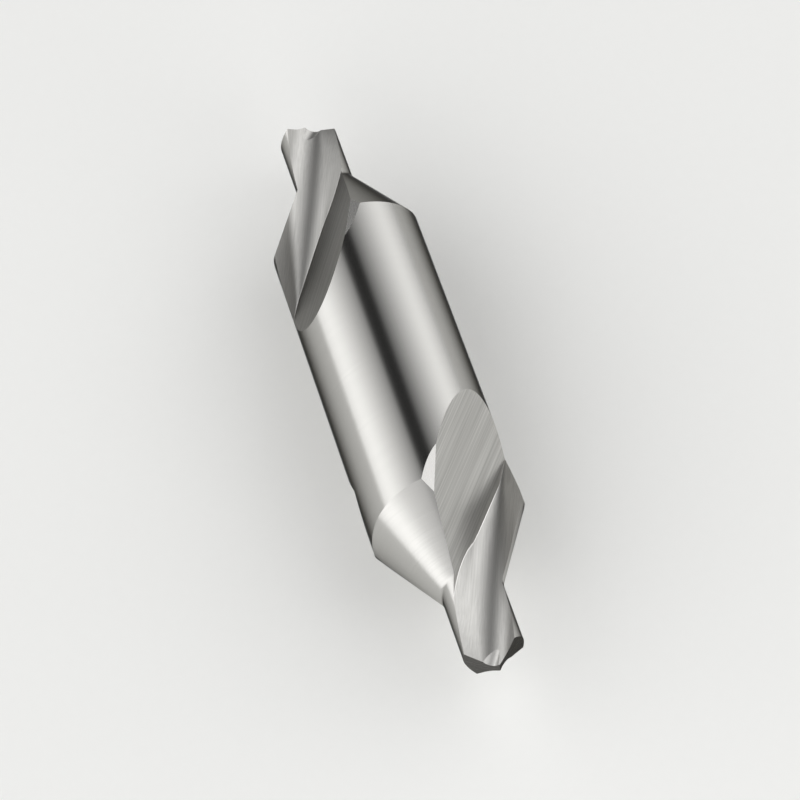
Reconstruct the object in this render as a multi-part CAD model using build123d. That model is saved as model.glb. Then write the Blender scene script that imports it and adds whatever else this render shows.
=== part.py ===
from build123d import *
from math import cos, sin, tan, radians
import os

# Centre drill, double-ended, 60 degree countersink, one ground bar of high speed steel.
# X runs along the tool from the far end to the near end, Z is up, the origin is mid-length.
# A place behind the tip is measured from the end of the pilot back towards the shank.

# main sizes
body_diameter = 16.0
pilot_diameter = 6.3
overall_length = 71.0
countersink_angle = 60.0
root_radius = 0.9            # fillet where the countersink runs into the pilot

# Flute groove, ground across the end by a wheel with a rounded corner. Its path crosses the
# axis at a slant, and its section turns along the path, as a helical flute's does.
# A section gives the angle of each wall's normal and the wall's distance from the path.
groove_behind_tip = 9.5      # where the path crosses the axis
groove_turn = 19.65          # path turned away from the axis, seen from above
groove_dip = 3.21            # and sloping down towards the shank
groove_wall = 14.0           # length of each wall in the section
groove_tail = 16.0           # straight stretch past the first and the last section
shank_section = dict(station=-13.0, heel=(30.1, 1.47), rake=(127.6, -1.81), root=0.8)
middle_section = dict(station=0.0, heel=(50.1, 0.98), rake=(143.0, -2.39), root=3.05)
tip_section = dict(station=9.5, heel=(74.8, 0.13), rake=(147.9, -2.97), root=2.26)

# bevel at the heel of each flute, clear of the pilot
bevel_around = 71.9
bevel_tilt = 15.8
bevel_stop = 11.5            # behind the tip

# web thinning, a small round notch beside the chisel edge
notch_radius = 1.0
notch_length = 12.0
notch_behind_tip = 0.5
notch_side = -0.85
notch_height = 1.05
notch_pitch = 22.0
notch_yaw = -32.0

# The two ends are sharpened apart, so each has its own point, relief, run-out wall and bevel.
# Relief sets the two halves of the countersink off the axis, across the cutting edges.
# The wall is a plane given by the angle of its normal around the axis and the tilt of the
# normal towards the tip. It and the bevel reach the body's surface so far behind the tip.
relief_around = 276.0
near_end = dict(
    pilot_reach=8.28,
    relief=1.15,
    flank_angle=112.0,
    wall=(34.9, 21.7),
    runout=29.1,
    bevel=22.7,
)
far_end = dict(
    pilot_reach=7.95,
    relief=0.60,
    flank_angle=126.0,
    wall=(34.0, 22.9),
    runout=28.1,
    bevel=21.8,
)

body_radius = body_diameter / 2
pilot_radius = pilot_diameter / 2
half_length = overall_length / 2
cone_half = radians(countersink_angle / 2)
stock = 4 * overall_length
from_start = (Align.CENTER, Align.CENTER, Align.MIN)


def beyond(around, tilt, behind_tip):
    # half-space outside a plane that reaches the body's surface at this place behind the tip
    a = radians(around)
    t = radians(tilt)
    normal = Vector(sin(t), cos(t) * cos(a), cos(t) * sin(a))
    reach = sin(t) * (half_length - behind_tip) + cos(t) * body_radius
    plane = Plane(origin=normal * reach, z_dir=normal)
    return plane * Box(stock, stock, stock, align=from_start)


def ahead(behind_tip):
    # everything nearer the tip than this place
    return Pos(half_length - behind_tip, 0, 0) * Box(
        stock, stock, stock, align=(Align.MIN, Align.CENTER, Align.CENTER))


def bar(radius):
    # solid bar along +X from the middle of the tool
    return Rot(0, 90, 0) * Cylinder(radius, half_length, align=from_start)


def side_blank(end):
    # Half of the unfluted end, with the body still oversize: countersink, pilot and the fillet
    # between the two. Its cone is set off the axis, so that the land falls away behind the
    # cutting edge.
    apex = half_length - end["pilot_reach"] + pilot_radius / tan(cone_half)
    outline = Polyline((apex, 0), (0, 0), (0, apex * tan(cone_half)), close=True)
    around = radians(relief_around)
    shift = Pos(0, end["relief"] * cos(around), end["relief"] * sin(around))
    shape = shift * revolve(make_face(outline), Axis.X) + bar(pilot_radius)
    corner = []
    for edge in shape.edges().filter_by(GeomType.LINE, reverse=True):
        place = edge.position_at(0.3).X / half_length
        if 0.01 < place < 0.99:
            corner.append(edge)
    shape = fillet(corner, root_radius)
    return shape & Rot(relief_around + 90, 0, 0) * Box(stock, stock, stock, align=from_start)


def groove_section(place):
    # rounded V across the path
    heel, heel_reach = radians(place["heel"][0]), place["heel"][1]
    rake, rake_reach = radians(place["rake"][0]), place["rake"][1]
    root = place["root"]
    opening = sin(rake - heel)
    corner_x = (heel_reach * sin(rake) - rake_reach * sin(heel)) / opening
    corner_y = (rake_reach * cos(heel) - heel_reach * cos(rake)) / opening
    cut_back = root * tan((rake - heel) / 2)
    heel_end = (corner_x - groove_wall * sin(heel), corner_y + groove_wall * cos(heel))
    rake_end = (corner_x + groove_wall * sin(rake), corner_y - groove_wall * cos(rake))
    heel_touch = (corner_x - cut_back * sin(heel), corner_y + cut_back * cos(heel))
    rake_touch = (corner_x + cut_back * sin(rake), corner_y - cut_back * cos(rake))
    middle = (heel + rake) / 2
    bottom = root / cos((rake - heel) / 2) - root
    root_bottom = (corner_x + bottom * cos(middle), corner_y + bottom * sin(middle))
    outer = (corner_x + 2 * groove_wall * cos(middle), corner_y + 2 * groove_wall * sin(middle))
    outline = Line(heel_end, heel_touch)
    outline += ThreePointArc(heel_touch, root_bottom, rake_touch)
    outline += Line(rake_touch, rake_end)
    outline += Line(rake_end, outer)
    outline += Line(outer, heel_end)
    turn = radians(groove_turn)
    dip = radians(groove_dip)
    along = Vector(cos(dip) * cos(turn), -cos(dip) * sin(turn), sin(dip))
    origin = Vector(half_length - groove_behind_tip, 0, 0) + along * place["station"]
    return Plane(origin=origin, x_dir=Vector(0, 0, 1).cross(along), z_dir=along) * make_face(outline)


def flute(end):
    # the groove, closed towards the shank by the run-out wall
    sections = [groove_section(place) for place in (shank_section, middle_section, tip_section)]
    groove = loft(sections)
    groove += extrude(sections[0], amount=-groove_tail)
    groove += extrude(sections[-1], amount=groove_tail)
    return groove & beyond(*end["wall"], end["runout"])


def heel_bevel(end):
    # small bevel between the heel of a flute, the body and the countersink
    return beyond(bevel_around, bevel_tilt, end["bevel"]) - ahead(bevel_stop)


def thinning():
    # round notch that thins the web beside the chisel edge
    notch = Rot(0, notch_pitch, notch_yaw) * Rot(0, 90, 0) * Cylinder(notch_radius, notch_length)
    return Pos(half_length - notch_behind_tip, notch_side, notch_height) * notch


def flank(end):
    # everything ahead of one point flank, which drops towards its heel
    slope = 90 - end["flank_angle"] / 2
    return Pos(half_length, 0, 0) * Rot(0, 0, slope) * Pos(-half_length, 0, 0) * ahead(0)


def half_tool(end):
    # One side of the end, cut by both flutes. The other side is the same, half a turn on.
    side = side_blank(end)
    for turn in (0, 180):
        for cut in (flute(end), heel_bevel(end), thinning(), flank(end)):
            side -= Rot(turn, 0, 0) * cut
    return side + Rot(180, 0, 0) * side


near_half = half_tool(near_end)
far_half = Rot(0, 0, 180) * half_tool(far_end)
body = Rot(0, 90, 0) * Cylinder(body_radius, overall_length)
tool = ((near_half + far_half) & body).clean().solid()
tool.label = "centre_drill"

os.makedirs("parts", exist_ok=True)
export_step(tool, "parts/centre_drill.step")
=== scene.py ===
import math

import bpy
import numpy as np
from mathutils import Matrix, Vector
from mathutils.bvhtree import BVHTree
from mathutils.interpolate import poly_3d_calc


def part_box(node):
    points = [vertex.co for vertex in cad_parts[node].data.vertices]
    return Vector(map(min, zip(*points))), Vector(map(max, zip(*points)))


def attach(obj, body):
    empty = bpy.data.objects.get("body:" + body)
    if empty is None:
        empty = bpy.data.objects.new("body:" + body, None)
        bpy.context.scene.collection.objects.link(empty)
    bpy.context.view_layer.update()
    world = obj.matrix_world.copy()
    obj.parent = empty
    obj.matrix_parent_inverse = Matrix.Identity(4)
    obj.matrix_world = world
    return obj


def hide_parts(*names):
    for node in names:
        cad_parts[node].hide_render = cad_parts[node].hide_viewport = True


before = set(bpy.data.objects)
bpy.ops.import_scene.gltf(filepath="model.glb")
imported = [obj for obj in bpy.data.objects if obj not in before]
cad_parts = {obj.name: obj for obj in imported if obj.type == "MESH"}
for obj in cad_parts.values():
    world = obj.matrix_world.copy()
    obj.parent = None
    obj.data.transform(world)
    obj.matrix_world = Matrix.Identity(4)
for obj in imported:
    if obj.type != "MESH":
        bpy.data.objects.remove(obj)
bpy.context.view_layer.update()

# Double-ended centre drill: a bar of high speed steel, ground all over. The tool is made as an
# unfluted blank, and one Geometry Nodes tree cuts the flutes, once for each end. It has the same
# shape and size as the CAD solid.
# Sizes are in millimetres and angles in degrees until they reach Blender. X runs along the
# tool, towards the end that faces the camera. Left and right are as seen from the far end.

scene = bpy.context.scene
mm = 0.001
creaseAngle = 16         # a ground edge, in degrees; flatter joins shade smoothly
lowCorner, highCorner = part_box("centre_drill")
halfLength = highCorner.x / mm
bodyRadius = highCorner.z / mm
print("frame loaded, tool length", round(2 * halfLength, 2), "mm")


def hexColour(text):
    # sRGB hex value turned to the linear colour that the nodes take
    parts = [int(text[i:i + 2], 16) / 255 for i in (1, 3, 5)]
    linear = [p / 12.92 if p <= 0.04045 else ((p + 0.055) / 1.055) ** 2.4 for p in parts]
    return (*linear, 1.0)


def addNode(tree, kind, settings=None, inputs=None):
    # one node with its settings; an input is a value, a socket to link, or a list of sockets
    node = tree.nodes.new(kind)
    for name, value in (settings or {}).items():
        setattr(node, name, value)
    for name, value in (inputs or {}).items():
        for item in value if isinstance(value, list) else [value]:
            if isinstance(item, bpy.types.NodeSocket):
                tree.links.new(item, node.inputs[name])
            else:
                node.inputs[name].default_value = item
    return node


def gridMesh(name, points):
    # closed mesh from rings of points, capped at the first and the last ring
    rings, count = points.shape[:2]
    faces = []
    for i in range(rings - 1):
        for j in range(count):
            k = (j + 1) % count
            faces.append((i * count + j, i * count + k, (i + 1) * count + k, (i + 1) * count + j))
    faces.append(tuple(reversed(range(count))))
    faces.append(tuple(range((rings - 1) * count, rings * count)))
    mesh = bpy.data.meshes.new(name)
    mesh.from_pydata((points.reshape(-1, 3) * mm).tolist(), [], faces)
    mesh.validate()
    mesh.shade_smooth()
    mesh.set_sharp_from_angle(angle=math.radians(creaseAngle))
    return mesh


# The two ends are sharpened apart. Reach and run-outs are measured back from the tip, and a
# ground plane is given by the angle of its normal around the axis and its tilt to the tip.
ends = {
    "near": {
        "endTurn": 0.0,            # turn about Z that takes a +X end to its place
        "pilotReach": 8.28,        # from the tip to where countersink and pilot would meet
        "relief": 1.15,            # how far each half of the countersink is set off the axis
        "pointAngle": 112.0,
        "wallAround": 34.9,
        "wallTilt": 21.7,
        "wallRunout": 29.1,        # where the flute's wall comes out of the body
        "bevelRunout": 22.7,
    },
    "far": {
        "endTurn": 180.0,
        "pilotReach": 7.95,
        "relief": 0.60,
        "pointAngle": 126.0,
        "wallAround": 34.0,
        "wallTilt": 22.9,
        "wallRunout": 28.1,
        "bevelRunout": 21.8,
    },
}

blankSizes = {
    "pilotRadius": 3.15,
    "coneHalf": 30.0,          # half of the countersink angle
    "rootRadius": 0.9,         # fillet where the countersink runs into the pilot
    "reliefAround": 276.0,     # direction in which the two halves of the cone are set apart
    "overrun": 0.8,            # pilot past the tip, ground away by the point flanks
    "sides": 240,
    "bodyCells": 10,
    "coneCells": 26,
    "rootCells": 6,
    "pilotCells": 14,
}


def endProfile(end, around):
    # Outline of one end in the plane at this angle around the axis, from mid-length to past the
    # tip. The cone's land falls away behind the cutting edge, so the outline changes with angle.
    s = blankSizes
    slope = math.tan(math.radians(s["coneHalf"]))
    apex = halfLength - end["pilotReach"] + s["pilotRadius"] / slope
    relief = end["relief"]
    drop = relief * abs(math.cos(math.radians(around - s["reliefAround"])))
    aside = relief ** 2 - drop ** 2

    def placeOf(radius):
        return apex - math.sqrt((radius + drop) ** 2 + aside) / slope

    def radiusAt(place):
        return math.sqrt(((apex - place) * slope) ** 2 - aside) - drop

    shoulder = placeOf(bodyRadius)
    corner = placeOf(s["pilotRadius"])
    cornerRadius = s["pilotRadius"] + drop
    steep = math.atan(slope * math.hypot(cornerRadius, math.sqrt(aside)) / cornerRadius)
    cutBack = s["rootRadius"] * math.tan(steep / 2)
    coneEnd = corner - cutBack * math.cos(steep)
    points = []
    for i in range(s["bodyCells"]):
        points.append((shoulder * i / s["bodyCells"], bodyRadius))
    for i in range(s["coneCells"]):
        place = shoulder + (coneEnd - shoulder) * i / s["coneCells"]
        points.append((place, radiusAt(place)))
    for i in range(s["rootCells"] + 1):
        angle = steep * (1 - i / s["rootCells"])
        points.append((corner + cutBack - s["rootRadius"] * math.sin(angle),
                       s["pilotRadius"] + s["rootRadius"] * (1 - math.cos(angle))))
    pilotStart = corner + cutBack
    pilotRun = halfLength + s["overrun"] - pilotStart
    for i in range(1, s["pilotCells"] + 1):
        points.append((pilotStart + pilotRun * i / s["pilotCells"], s["pilotRadius"]))
    return points


def blankMesh():
    # the unfluted tool, both ends on one body
    columns = []
    for j in range(blankSizes["sides"]):
        around = 360 * j / blankSizes["sides"]
        near = endProfile(ends["near"], around)
        far = endProfile(ends["far"], 180 - around)
        outline = [(-place, radius) for place, radius in reversed(far[1:])] + near
        direction = math.radians(around)
        columns.append([(x, r * math.cos(direction), r * math.sin(direction)) for x, r in outline])
    return gridMesh("blank", np.array(columns).transpose(1, 0, 2))


# The flute groove is ground along a path that crosses the axis at a slant. Its section is a V
# with a rounded root, given by the angle and the distance of each wall, and it turns on the way.
# Stations are measured along the path, and each has its own section.
grooveSizes = {
    "behindTip": 9.5,          # where the path crosses the axis
    "turn": 19.65,             # path turned away from the axis, seen from above
    "dip": 3.21,               # and sloping down towards the shank
    "wall": 14.0,              # length of each wall in the section
    "tail": 16.0,              # straight stretch past the first and the last section
    "stations": (-13.0, 0.0, 9.5),
    "heelAngle": (30.1, 50.1, 74.8),
    "heelReach": (1.47, 0.98, 0.13),
    "rakeAngle": (127.6, 143.0, 147.9),
    "rakeReach": (-1.81, -2.39, -2.97),
    "root": (0.8, 3.05, 2.26),
    "pathCells": 60,
    "wallCells": 12,
    "rootCells": 22,
    "paintedHighlightStart": 2.0,           # painted highlight along the crease: full so far past the first section
    "paintedHighlightHalving": 8.0,         # and half as wide after each such stretch towards the tip
}


def grooveAxes():
    # place and directions of the groove's path: across, up and along
    g = grooveSizes
    turn, dip = math.radians(g["turn"]), math.radians(g["dip"])
    along = Vector((math.cos(dip) * math.cos(turn), -math.cos(dip) * math.sin(turn), math.sin(dip)))
    across = Vector((0, 0, 1)).cross(along).normalized()
    return Vector((halfLength - g["behindTip"], 0, 0)), across, along.cross(across), along


def grooveSection(heelAngle, heelReach, rakeAngle, rakeReach, root):
    # closed outline of the section, heel wall first
    g = grooveSizes
    heel, rake = math.radians(heelAngle), math.radians(rakeAngle)
    opening = math.sin(rake - heel)
    corner = np.array([heelReach * math.sin(rake) - rakeReach * math.sin(heel),
                       rakeReach * math.cos(heel) - heelReach * math.cos(rake)]) / opening
    heelWay = np.array([-math.sin(heel), math.cos(heel)])
    rakeWay = np.array([math.sin(rake), -math.cos(rake)])
    cutBack = root * math.tan((rake - heel) / 2)
    middle = (heel + rake) / 2
    outward = np.array([math.cos(middle), math.sin(middle)])
    centre = corner + outward * root / math.cos((rake - heel) / 2)
    points = []
    for i in range(g["wallCells"]):
        points.append(corner + heelWay * (g["wall"] + (cutBack - g["wall"]) * i / g["wallCells"]))
    for i in range(g["rootCells"] + 1):
        angle = heel + math.pi + (rake - heel) * i / g["rootCells"]
        points.append(centre + root * np.array([math.cos(angle), math.sin(angle)]))
    for i in range(1, g["wallCells"] + 1):
        points.append(corner + rakeWay * (cutBack + (g["wall"] - cutBack) * i / g["wallCells"]))
    points.append(corner + outward * 2 * g["wall"])
    return points


def grooveMesh():
    # the grinding wheel's path as a closed form, one smooth curve through the three sections
    g = grooveSizes
    first, last = g["stations"][0], g["stations"][-1]
    stations = [first - g["tail"]]
    stations += [first + (last - first) * i / g["pathCells"] for i in range(g["pathCells"] + 1)]
    stations.append(last + g["tail"])
    origin, across, up, along = grooveAxes()
    known = [np.array(grooveSection(*values)) for values in
             zip(g["heelAngle"], g["heelReach"], g["rakeAngle"], g["rakeReach"], g["root"])]
    rings = []
    for station in stations:
        place = min(max(station, first), last)
        outline = np.zeros_like(known[0])
        for here, section in zip(g["stations"], known):
            others = [there for there in g["stations"] if there != here]
            outline += section * np.prod([(place - there) / (here - there) for there in others])
        rings.append([np.array(origin + across * x + up * y + along * station)
                      for x, y in outline])
    return gridMesh("groove", np.array(rings))


# Each finish is the same hardened steel, ground in its own way. A pattern's line and stretch are
# in mm: how far apart the lines lie, and how long they run before they change. Relief is their
# depth in mm, and patches says how much broader streaks add to them. Real grinding lines lie a
# few hundredths of a millimetre apart, too fine to show, so they are drawn coarser here.
finishes = {
    "groundRound": {          # plunge-ground between centres: bright, with very fine rings
        "colours": ("#B8B7B4", "#BDBCB9"),
        "roughness": (0.165, 0.18),
        "anisotropy": 0.30,
        "line": 0.10,
        "stretch": 40.0,
        "patches": 0.05,
        "relief": 0.00001,
    },
    "groundFlute": {          # ground along the flute and polished by the chips
        "colours": ("#BAB9B6", "#CAC9C6"),
        "roughness": (0.40, 0.46),
        "anisotropy": 0.0,
        "line": 0.14,
        "stretch": 7.0,
        "patches": 0.15,
        "relief": 0.0002,
        "paintedHighlightColour": "#F0EFEC",       # painted highlight: a bright colour along the crease at the wall
        "paintedHighlightDepth": (0.03, 0.07),     # where it fades, in mm from the wall's plane
    },
    "groundWall": {           # where the wheel's side ran out: coarse straight lines, duller
        "colours": ("#ABAAA7", "#CAC9C6"),
        "roughness": (0.29, 0.37),
        "anisotropy": 0.0,
        "line": 0.15,
        "stretch": 30.0,
        "patches": 0.30,
        "relief": 0.0008,
    },
    "groundBevel": {          # heel bevel, dressed with a fine wheel
        "colours": ("#D4D3D0", "#DCDBD8"),
        "roughness": (0.26, 0.29),
        "anisotropy": 0.0,
        "line": 0.25,
        "stretch": 20.0,
        "patches": 0.10,
        "relief": 0.0001,
    },
    "groundPointPaintedShade": {          # point flanks, a darker copy of the steel: painted shade
        "colours": ("#706F6D", "#7E7D7B"),
        "roughness": (0.24, 0.32),
        "anisotropy": 0.0,
        "line": 0.20,
        "stretch": 8.0,
        "patches": 0.2,
        "relief": 0.0003,
    },
    "groundNotch": {          # web thinning by the rounded corner of a fine wheel
        "colours": ("#C4C3C0", "#D0CFCC"),
        "roughness": (0.40, 0.46),
        "anisotropy": 0.0,
        "line": 0.12,
        "stretch": 3.0,
        "patches": 0.1,
        "relief": 0.0002,
    },
}

# what all the finishes share
steelPattern = {
    "paintedOutlineShade": 0.08,          # edge tint kept low, so the grazing reflection and the outline are dark: painted shade
    "lineDetail": 3.0,
    "lineRoughness": 0.6,
    "patchDetail": 2.0,
    "patchRun": 2,             # a patch is so many times shorter than a line
    "patchWidth": 8,           # and so many times wider
    "toneRange": (0.3, 0.7),   # noise values that give the first and the second colour
    "ringSpread": 75,          # a ring changes this much more slowly with height than with length
}


def groundSteel(name, look):
    # Ground high speed steel: a neutral grey metal whose shine follows its grinding lines. The
    # stroke attribute holds mm along the lines, then mm across them, twice.
    s = steelPattern
    material = bpy.data.materials.new(name)
    material.use_nodes = True
    tree = material.node_tree
    tree.nodes.clear()
    stroke = addNode(tree, "ShaderNodeAttribute", {"attribute_name": "stroke"})
    fine, run = 1 / look["line"], 1 / look["stretch"]
    lines = addNode(tree, "ShaderNodeVectorMath", {"operation": "MULTIPLY"},
                    {0: stroke.outputs["Vector"], 1: (run, fine, fine)})
    drawn = addNode(tree, "ShaderNodeTexNoise", None,
                    {"Vector": lines.outputs[0], "Scale": 1.0, "Detail": s["lineDetail"],
                     "Roughness": s["lineRoughness"]})
    broad = fine / s["patchWidth"]
    patches = addNode(tree, "ShaderNodeVectorMath", {"operation": "MULTIPLY"},
                      {0: stroke.outputs["Vector"], 1: (run * s["patchRun"], broad, broad)})
    worn = addNode(tree, "ShaderNodeTexNoise", None,
                   {"Vector": patches.outputs[0], "Scale": 1.0, "Detail": s["patchDetail"]})
    tone = addNode(tree, "ShaderNodeMath", {"operation": "MULTIPLY_ADD"},
                   {0: worn.outputs[0], 1: look["patches"], 2: drawn.outputs[0]})
    low, high = (edge + look["patches"] / 2 for edge in s["toneRange"])
    share = addNode(tree, "ShaderNodeMapRange", None,
                    {"Value": tone.outputs[0], "From Min": low, "From Max": high})
    colour = addNode(tree, "ShaderNodeMix", {"data_type": "RGBA"},
                     {"Factor": share.outputs[0], 6: hexColour(look["colours"][0]),
                      7: hexColour(look["colours"][1])})
    gloss = addNode(tree, "ShaderNodeMapRange", None,
                    {"Value": share.outputs[0], "To Min": look["roughness"][1],
                     "To Max": look["roughness"][0]})
    bump = addNode(tree, "ShaderNodeBump", None,
                   {"Height": drawn.outputs[0], "Strength": 1.0, "Distance": look["relief"] * mm})
    # painted highlight: a pale colour mixed in near the flute's wall, along the crease
    if "paintedHighlightColour" in look:
        rim = addNode(tree, "ShaderNodeAttribute", {"attribute_name": "rim"})
        paintedHighlightShare = addNode(tree, "ShaderNodeMapRange", None,
                           {"Value": rim.outputs["Fac"], "From Min": look["paintedHighlightDepth"][0],
                            "From Max": look["paintedHighlightDepth"][1], "To Min": 1.0, "To Max": 0.0})
        colour = addNode(tree, "ShaderNodeMix", {"data_type": "RGBA"},
                         {"Factor": paintedHighlightShare.outputs[0], 6: colour.outputs[2],
                          7: hexColour(look["paintedHighlightColour"])})
    # the low edge tint paints shade along the outline
    shader = addNode(tree, "ShaderNodeBsdfPrincipled", None,
                     {"Base Color": colour.outputs[2], "Metallic": 1.0,
                      "Specular Tint": (s["paintedOutlineShade"], s["paintedOutlineShade"], s["paintedOutlineShade"], 1.0),
                      "Roughness": gloss.outputs[0], "Normal": bump.outputs[0]})
    if look["anisotropy"]:
        around = addNode(tree, "ShaderNodeTangent", {"direction_type": "RADIAL", "axis": "X"})
        shader.inputs["Anisotropic"].default_value = look["anisotropy"]
        tree.links.new(around.outputs[0], shader.inputs["Tangent"])
    addNode(tree, "ShaderNodeOutputMaterial", None, {"Surface": shader.outputs[0]})
    return material


steels = {name: groundSteel(name, look) for name, look in finishes.items()}
print("finishes made:", ", ".join(steels))

# the finish of the faces that each form leaves; the limit closes the bevel towards the tip
formFinish = {
    "blank": "groundRound",
    "groove": "groundFlute",
    "wall": "groundWall",
    "bevel": "groundBevel",
    "limit": "groundBevel",
    # the flanks take the darker copy of the steel, painted shade
    "flank": "groundPointPaintedShade",
    "notch": "groundNotch",
}
formNames = list(formFinish)

# what cuts an end besides the groove
cutterSizes = {
    "bevelAround": 71.9,       # small bevel at the heel of each flute
    "bevelTilt": 15.8,
    "bevelStop": 11.5,         # behind the tip
    "notchRadius": 1.0,        # round notch that thins the web beside the chisel edge
    "notchLength": 12.0,
    "notchPlace": (-0.5, -0.85, 1.05),         # from the tip
    "notchPitch": 22.0,
    "notchYaw": -32.0,
    "notchSides": 64,
    "flutes": 2,
    "wheel": 90.0,             # size of the blocks that stand for the grinding wheels
    "wallStroke": (-0.800, 0.563, -0.208),     # way of the grinding lines on the run-out wall
}


def planeNormal(around, tilt):
    # outward normal of a ground plane
    a, t = math.radians(around), math.radians(tilt)
    return Vector((math.sin(t), math.cos(t) * math.cos(a), math.cos(t) * math.sin(a)))


def planeReach(tilt, behindTip):
    # distance to mid-length of a plane that reaches the body's surface so far behind the tip
    t = math.radians(tilt)
    return math.sin(t) * (halfLength - behindTip) + math.cos(t) * bodyRadius


def wheelPlace(around, tilt, behindTip):
    # middle and turn of a block whose lower face is the ground plane
    normal = planeNormal(around, tilt)
    middle = normal * (planeReach(tilt, behindTip) + cutterSizes["wheel"] / 2) * mm
    return middle, normal.to_track_quat("Z", "Y").to_euler()


def notchTurn():
    # turn that takes Z to the notch's axis
    c = cutterSizes
    pitch = Matrix.Rotation(math.radians(c["notchPitch"]), 3, "Y")
    yaw = Matrix.Rotation(math.radians(c["notchYaw"]), 3, "Z")
    return pitch @ yaw @ Matrix.Rotation(math.radians(90), 3, "Y")


def cutterInputs(end):
    # values of the flute tree's inputs for one end, in metres and radians
    c = cutterSizes
    tip = Vector((halfLength, 0, 0))
    flankSlope = math.radians(90 - end["pointAngle"] / 2)
    flankNormal = Vector((math.cos(flankSlope), math.sin(flankSlope), 0))
    wallMiddle, wallTurn = wheelPlace(end["wallAround"], end["wallTilt"], end["wallRunout"])
    bevelMiddle, bevelTurn = wheelPlace(c["bevelAround"], c["bevelTilt"], end["bevelRunout"])
    return {
        "Flutes": c["flutes"],
        "End Turn": (0, 0, math.radians(end["endTurn"])),
        "Wheel Size": (c["wheel"] * mm, c["wheel"] * mm, c["wheel"] * mm),
        "Wall Place": wallMiddle,
        "Wall Turn": wallTurn,
        "Bevel Place": bevelMiddle,
        "Bevel Turn": bevelTurn,
        "Bevel Limit": ((halfLength - c["bevelStop"] - c["wheel"] / 2) * mm, 0, 0),
        "Notch Place": (tip + Vector(c["notchPlace"])) * mm,
        "Notch Turn": notchTurn().to_euler(),
        "Notch Radius": c["notchRadius"] * mm,
        "Notch Length": c["notchLength"] * mm,
        "Flank Place": (tip + flankNormal * c["wheel"] / 2) * mm,
        "Flank Turn": (0, 0, flankSlope),
    }


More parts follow.
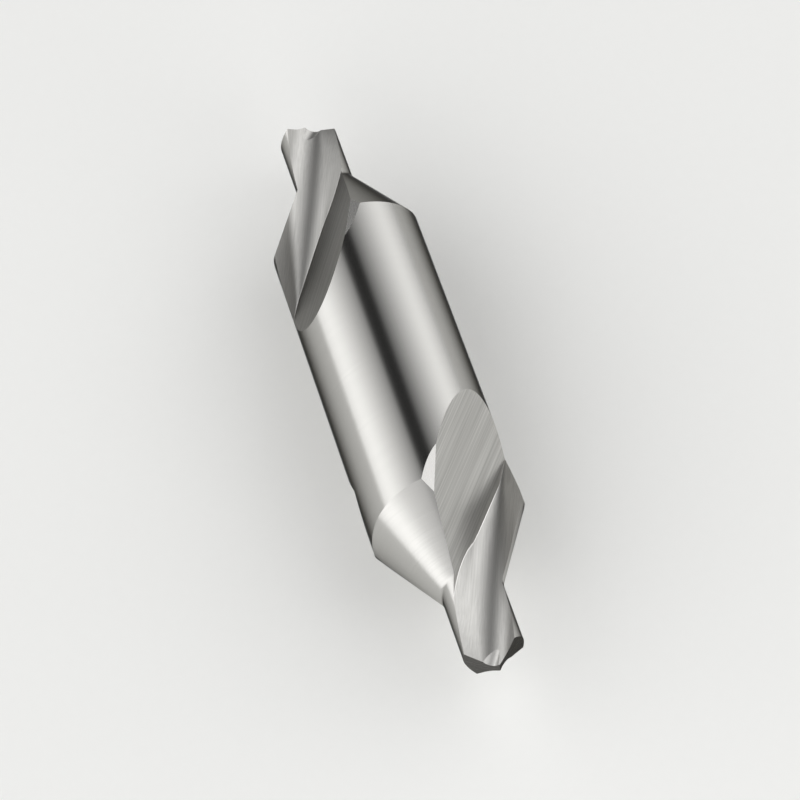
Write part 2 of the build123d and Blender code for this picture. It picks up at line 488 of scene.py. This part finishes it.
def fluteTree(names):
    # Geometry Nodes for the grinding of one end. The groove is closed towards the shank by the
    # run-out wall. Groove, bevel, notch and point flank are cut once for each flute.
    tree = bpy.data.node_groups.new("fluteCuts", "GeometryNodeTree")
    sockets = tree.interface
    sockets.new_socket("Geometry", in_out="OUTPUT", socket_type="NodeSocketGeometry")
    sockets.new_socket("Geometry", in_out="INPUT", socket_type="NodeSocketGeometry")
    sockets.new_socket("Groove", in_out="INPUT", socket_type="NodeSocketObject")
    kinds = {"Flutes": "NodeSocketInt", "Notch Radius": "NodeSocketFloat",
             "Notch Length": "NodeSocketFloat"}                # the others are vectors
    for name in names:
        sockets.new_socket(name, in_out="INPUT", socket_type=kinds.get(name, "NodeSocketVector"))
    given = addNode(tree, "NodeGroupInput").outputs

    forms = {}
    groove = addNode(tree, "GeometryNodeObjectInfo", None, {"Object": given["Groove"]})
    forms["groove"] = groove.outputs["Geometry"]
    block = addNode(tree, "GeometryNodeMeshCube", None, {"Size": given["Wheel Size"]})
    for part in ("Wall", "Bevel", "Flank"):
        placed = addNode(tree, "GeometryNodeTransform", None,
                         {"Geometry": block.outputs["Mesh"], "Translation": given[part + " Place"],
                          "Rotation": given[part + " Turn"]})
        forms[part.lower()] = placed.outputs[0]
    limit = addNode(tree, "GeometryNodeTransform", None,
                    {"Geometry": block.outputs["Mesh"], "Translation": given["Bevel Limit"]})
    forms["limit"] = limit.outputs[0]
    rod = addNode(tree, "GeometryNodeMeshCylinder", None,
                  {"Vertices": cutterSizes["notchSides"], "Radius": given["Notch Radius"],
                   "Depth": given["Notch Length"]})
    notch = addNode(tree, "GeometryNodeTransform", None,
                    {"Geometry": rod.outputs["Mesh"], "Translation": given["Notch Place"],
                     "Rotation": given["Notch Turn"]})
    forms["notch"] = notch.outputs[0]

    # every cut face carries the number of its form, and the blank's faces have none, so zero
    for part in forms:
        marked = addNode(tree, "GeometryNodeStoreNamedAttribute",
                         {"data_type": "INT", "domain": "FACE"},
                         {"Geometry": forms[part], "Name": "form", "Value": formNames.index(part)})
        forms[part] = marked.outputs[0]
    shared = {"operation": "INTERSECT", "solver": "MANIFOLD"}
    flute = addNode(tree, "GeometryNodeMeshBoolean", shared,
                    {"Mesh 2": [forms["groove"], forms["wall"]]})
    bevel = addNode(tree, "GeometryNodeMeshBoolean", shared,
                    {"Mesh 2": [forms["bevel"], forms["limit"]]})

    start = addNode(tree, "GeometryNodeRepeatInput")
    close = addNode(tree, "GeometryNodeRepeatOutput")
    start.pair_with_output(close)
    tree.links.new(given["Flutes"], start.inputs["Iterations"])
    tree.links.new(given["Geometry"], start.inputs["Geometry"])
    step = addNode(tree, "ShaderNodeMath", {"operation": "DIVIDE"},
                   {0: 2 * math.pi, 1: given["Flutes"]})
    angle = addNode(tree, "ShaderNodeMath", {"operation": "MULTIPLY"},
                    {0: start.outputs["Iteration"], 1: step.outputs[0]})
    around = addNode(tree, "ShaderNodeCombineXYZ", None, {"X": angle.outputs[0]})
    turn = addNode(tree, "FunctionNodeRotateRotation", {"rotation_space": "GLOBAL"},
                   {"Rotation": around.outputs[0], "Rotate By": given["End Turn"]})
    cutters = []
    for geometry in (flute.outputs["Mesh"], bevel.outputs["Mesh"], forms["notch"], forms["flank"]):
        moved = addNode(tree, "GeometryNodeTransform", None,
                        {"Geometry": geometry, "Rotation": turn.outputs[0]})
        cutters.append(moved.outputs[0])
    cut = addNode(tree, "GeometryNodeMeshBoolean",
                  {"operation": "DIFFERENCE", "solver": "MANIFOLD"},
                  {"Mesh 1": start.outputs["Geometry"], "Mesh 2": cutters})
    tree.links.new(cut.outputs["Mesh"], close.inputs["Geometry"])

    shape = addNode(tree, "GeometryNodeRealizeInstances", None,
                    {"Geometry": close.outputs["Geometry"]}).outputs[0]
    number = addNode(tree, "GeometryNodeInputNamedAttribute", {"data_type": "INT"},
                     {"Name": "form"})
    for i, part in enumerate(formNames):
        chosen = addNode(tree, "FunctionNodeCompare", {"data_type": "INT", "operation": "EQUAL"},
                         {2: number.outputs["Attribute"], 3: i})
        shape = addNode(tree, "GeometryNodeSetMaterial", None,
                        {"Geometry": shape, "Selection": chosen.outputs[0],
                         "Material": steels[formFinish[part]]}).outputs[0]
    addNode(tree, "NodeGroupOutput", None, {"Geometry": shape})
    return tree


def fluteTool():
    # the blank with both ends fluted, as a plain mesh, and the two meshes that it came from
    tool = bpy.data.objects.new("centre_drill_ground", blankMesh())
    groove = bpy.data.objects.new("groove", grooveMesh())
    scene.collection.objects.link(tool)
    scene.collection.objects.link(groove)
    inputs = {name: cutterInputs(end) for name, end in ends.items()}
    tree = fluteTree(inputs["near"])
    for name, values in inputs.items():
        modifier = tool.modifiers.new(name, "NODES")
        modifier.node_group = tree
        values["Groove"] = groove
        for item in tree.interface.items_tree:
            if item.in_out == "INPUT" and item.name in values:
                modifier[item.identifier] = values[item.name]
    depsgraph = bpy.context.evaluated_depsgraph_get()
    mesh = bpy.data.meshes.new_from_object(tool.evaluated_get(depsgraph), depsgraph=depsgraph)
    blank, grooveForm = tool.data, groove.data
    tool.modifiers.clear()
    tool.data = mesh
    bpy.data.objects.remove(groove)
    if mesh.materials[0] is None:
        mesh.materials.pop(index=0)      # the empty slot that the cuts leave
    print("flutes cut:", len(mesh.polygons), "faces,", len(mesh.materials), "finishes")
    return tool, blank, grooveForm


tool, blank, grooveForm = fluteTool()


class SourceForm:
    # a ground form that gives its own normals back to the faces cut from it
    def __init__(self, mesh, turn, sign):
        self.mesh, self.turn, self.back, self.sign = mesh, turn, turn.transposed(), sign
        self.tree = BVHTree.FromPolygons([v.co for v in mesh.vertices],
                                         [tuple(p.vertices) for p in mesh.polygons])

    def nearest(self, point):
        place, way, index, gap = self.tree.find_nearest(self.back @ point)
        return gap, index

    def normalAt(self, point, index):
        polygon = self.mesh.polygons[index]
        corners = [self.mesh.vertices[v].co for v in polygon.vertices]
        weights = poly_3d_calc(corners, self.back @ point)
        normal = Vector()
        for weight, loop in zip(weights, polygon.loop_indices):
            normal += self.mesh.corner_normals[loop].vector * weight
        return (self.turn @ normal).normalized() * self.sign


def flutePlaces():
    # Each flute of both ends, with its groove and its ground surfaces. A grind is the turn from
    # the tool's axes to along the grinding lines, across them and out of the surface.
    count = cutterSizes["flutes"]
    origin, across, up, along = grooveAxes()
    places = []
    for end in ends.values():
        normal = planeNormal(end["wallAround"], end["wallTilt"])
        lines = Vector(cutterSizes["wallStroke"])
        lines = (lines - normal * lines.dot(normal)).normalized()
        for i in range(count):
            turn = Matrix.Rotation(math.radians(end["endTurn"]), 3, "Z")
            turn = turn @ Matrix.Rotation(2 * math.pi * i / count, 3, "X")
            back = turn.transposed()
            places.append({
                "form": SourceForm(grooveForm, turn, -1),
                "grooveGrind": Matrix((along, across, up)) @ back,
                "wallNormal": turn @ normal,
                "wallReach": planeReach(end["wallTilt"], end["wallRunout"]),
                "wallGrind": Matrix((lines, normal.cross(lines), normal)) @ back,
                "notchGrind": notchTurn().transposed() @ back,
            })
    return places


def notchOffset(grind, point):
    # from the axis of one notch straight out to a point in mm, in the notch's own directions
    middle = Vector((halfLength, 0, 0)) + Vector(cutterSizes["notchPlace"])
    local = grind @ point - notchTurn().transposed() @ middle
    return Vector((local.x, local.y, 0))


def paintedHighlightRimGap(flute, point, station):
    # Distance in mm from the plane of the flute's wall, which places the painted highlight. It is
    # enlarged towards the tip, where the painted highlight thins out.
    gap = flute["wallNormal"].dot(point) - flute["wallReach"]
    origin, across, up, along = grooveAxes()
    full = along.dot(origin) + grooveSizes["stations"][0] + grooveSizes["paintedHighlightStart"]
    return gap * 2 ** ((station - full) / grooveSizes["paintedHighlightHalving"])


def finishFaces():
    # Every corner gets the normal of the form that its face was cut from, its place along and
    # across the grinding lines, and its distance from the painted highlight along the crease.
    mesh = tool.data
    mesh.shade_smooth()
    blankForm = SourceForm(blank, Matrix.Identity(3), 1)
    flutes = flutePlaces()
    finishNames = [material.name for material in mesh.materials]
    normals = [None] * len(mesh.loops)
    stroke = np.zeros((len(mesh.loops), 3))
    rim = np.ones(len(mesh.loops))
    for polygon in mesh.polygons:
        centre, normal = polygon.center, polygon.normal
        finish = finishNames[polygon.material_index]
        form = grind = None
        if finish == "groundRound":
            form = blankForm
        elif finish == "groundFlute":
            flute = min(flutes, key=lambda f: f["form"].nearest(centre)[0])
            form, grind = flute["form"], flute["grooveGrind"]
        elif finish == "groundWall":
            grind = max(flutes, key=lambda f: f["wallNormal"].dot(normal))["wallGrind"]
        elif finish == "groundNotch":
            grind = min((flute["notchGrind"] for flute in flutes), key=lambda g: abs(
                notchOffset(g, centre / mm).length - cutterSizes["notchRadius"]))
        else:                   # bevels and point flanks are ground along the tool
            lines = (Vector((1, 0, 0)) - normal * normal.x).normalized()
            grind = Matrix((lines, normal.cross(lines), normal))
        index = form.nearest(centre)[1] if form else None
        for loop in polygon.loop_indices:
            place = mesh.vertices[mesh.loops[loop].vertex_index].co
            point = place / mm
            if form:
                normals[loop] = form.normalAt(place, index)
            elif finish == "groundNotch":
                normals[loop] = (grind.transposed() @ -notchOffset(grind, point)).normalized()
            else:
                normals[loop] = normal.copy()
            if grind:
                stroke[loop] = grind @ point
            else:
                stroke[loop] = (point.y, point.x, point.z / steelPattern["ringSpread"])
            # distance that places the painted highlight along the crease
            if finish == "groundFlute":
                rim[loop] = paintedHighlightRimGap(flute, point, stroke[loop][0])
    mesh.normals_split_custom_set(normals)
    strokeLayer = mesh.attributes.new("stroke", "FLOAT_VECTOR", "CORNER")
    strokeLayer.data.foreach_set("vector", stroke.ravel())
    paintedHighlightRimLayer = mesh.attributes.new("rim", "FLOAT", "CORNER")
    paintedHighlightRimLayer.data.foreach_set("value", rim)


finishFaces()
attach(tool, "root")
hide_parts("centre_drill")
print("tool finished")

# camera at the photograph's angle: its place, its axes and its focal length in pixels
cameraSizes = {
    "place": (198.4395, -32.9498, 294.4297),
    "right": (0.28412, 0.95514, -0.08356),
    "down": (0.78343, -0.28152, -0.55406),
    "forward": (-0.55273, 0.09196, -0.82827),
    "focalPixels": 3442.894,
    "imagePixels": 800,
    "sensor": 36.0,
    "clip": (0.01, 50),        # nearest and farthest, in metres
}


def placeCamera():
    c = cameraSizes
    data = bpy.data.cameras.new("camera")
    data.sensor_width = c["sensor"]
    data.lens = c["focalPixels"] * c["sensor"] / c["imagePixels"]
    data.clip_start, data.clip_end = c["clip"]
    camera = bpy.data.objects.new("camera", data)
    scene.collection.objects.link(camera)
    axes = Matrix((c["right"], -Vector(c["down"]), -Vector(c["forward"]))).transposed()
    camera.matrix_world = Matrix.Translation(Vector(c["place"]) * mm) @ axes.to_4x4()
    scene.camera = camera


placeCamera()

# the tool lies on matt seamless paper
floorSizes = {
    "size": 8.0,               # in metres
    "colour": "#F6F6F4",
    "grain": 900.0,            # per metre: fibres a millimetre or so long
    "grainDetail": 3.0,
    "grainShade": 0.985,       # how dark the grain gets
    "roughness": 0.9,
    "shine": 0.2,
}


def layFloor():
    f = floorSizes
    half = f["size"] / 2
    corners = [(-half, -half), (half, -half), (half, half), (-half, half)]
    mesh = bpy.data.meshes.new("floor")
    mesh.from_pydata([(x, y, lowCorner.z) for x, y in corners], [], [(0, 1, 2, 3)])
    floor = bpy.data.objects.new("floor", mesh)
    scene.collection.objects.link(floor)
    material = bpy.data.materials.new("paperFloor")
    material.use_nodes = True
    tree = material.node_tree
    place = addNode(tree, "ShaderNodeTexCoord")
    grain = addNode(tree, "ShaderNodeTexNoise", None,
                    {"Vector": place.outputs["Object"], "Scale": f["grain"],
                     "Detail": f["grainDetail"]})
    tone = addNode(tree, "ShaderNodeMapRange", None,
                   {"Value": grain.outputs[0], "To Min": f["grainShade"], "To Max": 1.0})
    colour = addNode(tree, "ShaderNodeMix", {"data_type": "RGBA", "blend_type": "MULTIPLY"},
                     {"Factor": 1.0, 6: hexColour(f["colour"]), 7: tone.outputs[0]})
    shader = tree.nodes["Principled BSDF"]
    tree.links.new(colour.outputs[2], shader.inputs["Base Color"])
    shader.inputs["Roughness"].default_value = f["roughness"]
    shader.inputs["Specular IOR Level"].default_value = f["shine"]
    mesh.materials.append(material)


# two low soft lamps in front of the tool
lampSizes = {
    "directions": {"lampLeft": (0.84, 0.42, 0.30), "lampRight": (0.84, -0.42, 0.30)},
    "distance": 1.4,           # in metres
    "size": (0.8, 0.8),
    "brightness": 2.6,
}


def hangLamps():
    for name, way in lampSizes["directions"].items():
        data = bpy.data.lights.new(name, "AREA")
        data.shape = "RECTANGLE"
        data.size, data.size_y = lampSizes["size"]
        data.energy = lampSizes["brightness"] * math.pi * data.size * data.size_y
        lamp = bpy.data.objects.new(name, data)
        lamp.location = Vector(way).normalized() * lampSizes["distance"]
        lamp.rotation_euler = Vector(way).to_track_quat("Z", "Y").to_euler()
        scene.collection.objects.link(lamp)


# A soft tent around it, whose panels are bright areas of the world. Steel shows its surroundings,
# so each panel has the place of a bright zone on the tool, and a narrow dark flag over the tool
# gives the black line along its body. Directions have no unit: lengths are parts of the radius.
tentSizes = {
    "base": 0.02,              # brightness between the panels
    "fadeStart": 0.10,         # how far outside a panel's middle line it begins to fade
    "fadeSpeed": (2.2, 1, 1),  # and how much faster it does so along the tool
    "flagAround": 95.3,        # angle of the flag around the tool, from the Y axis
    "flagWidth": (0.115, 0.185),               # half-width where the flag is black, and its end
}
tentPanels = {
    "left": {
        "middle": (-0.20, 0.87, 0.45),
        "halfRun": 0.42,           # half the length of its middle line, along the tool
        "reach": 0.95,             # where it has faded away
        "brightness": 1.60,
        "flagged": True,
    },
    "right": {
        "middle": (-0.04, -0.95, 0.28),
        "halfRun": 0.56,
        "reach": 1.10,
        "brightness": 1.95,
        "flagged": True,
    },
    "top": {
        "middle": (0.35, 0.15, 0.93),
        "halfRun": 0.10,
        "reach": 0.85,
        "brightness": 0.80,
        "flagged": False,
    },
}


def raiseTent():
    t = tentSizes
    world = bpy.data.worlds.new("tent")
    world.use_nodes = True
    tree = world.node_tree
    sky = tree.nodes["Background"]
    sky.inputs["Color"].default_value = (1, 1, 1, 1)
    direction = addNode(tree, "ShaderNodeTexCoord").outputs["Generated"]
    flagTurn = math.radians(t["flagAround"] + 90)
    side = addNode(tree, "ShaderNodeVectorMath", {"operation": "DOT_PRODUCT"},
                   {0: direction, 1: (0, math.cos(flagTurn), math.sin(flagTurn))})
    offset = addNode(tree, "ShaderNodeMath", {"operation": "ABSOLUTE"}, {0: side.outputs["Value"]})
    clear = addNode(tree, "ShaderNodeMapRange", {"interpolation_type": "SMOOTHSTEP"},
                    {"Value": offset.outputs[0], "From Min": t["flagWidth"][0],
                     "From Max": t["flagWidth"][1]})
    total = t["base"]
    for panel in tentPanels.values():
        away = direction
        for operation, values in (("SUBTRACT", {1: Vector(panel["middle"]).normalized()}),
                                  ("ABSOLUTE", {}),
                                  ("SUBTRACT", {1: (panel["halfRun"], 0, 0)}),
                                  ("MAXIMUM", {1: (0, 0, 0)}),
                                  ("MULTIPLY", {1: t["fadeSpeed"]})):
            away = addNode(tree, "ShaderNodeVectorMath", {"operation": operation},
                           {0: away, **values}).outputs[0]
        gap = addNode(tree, "ShaderNodeVectorMath", {"operation": "LENGTH"}, {0: away})
        light = addNode(tree, "ShaderNodeMapRange", None,
                        {"Value": gap.outputs["Value"], "From Min": t["fadeStart"],
                         "From Max": panel["reach"], "To Min": panel["brightness"], "To Max": 0.0})
        if panel["flagged"]:
            light = addNode(tree, "ShaderNodeMath", {"operation": "MULTIPLY"},
                            {0: light.outputs[0], 1: clear.outputs[0]})
        total = addNode(tree, "ShaderNodeMath", {"operation": "ADD"},
                        {0: light.outputs[0], 1: total}).outputs[0]
    tree.links.new(total, sky.inputs["Strength"])
    scene.world = world
    scene.view_settings.view_transform = "Standard"


layFloor()
hangLamps()
raiseTent()
print("stage and camera set")
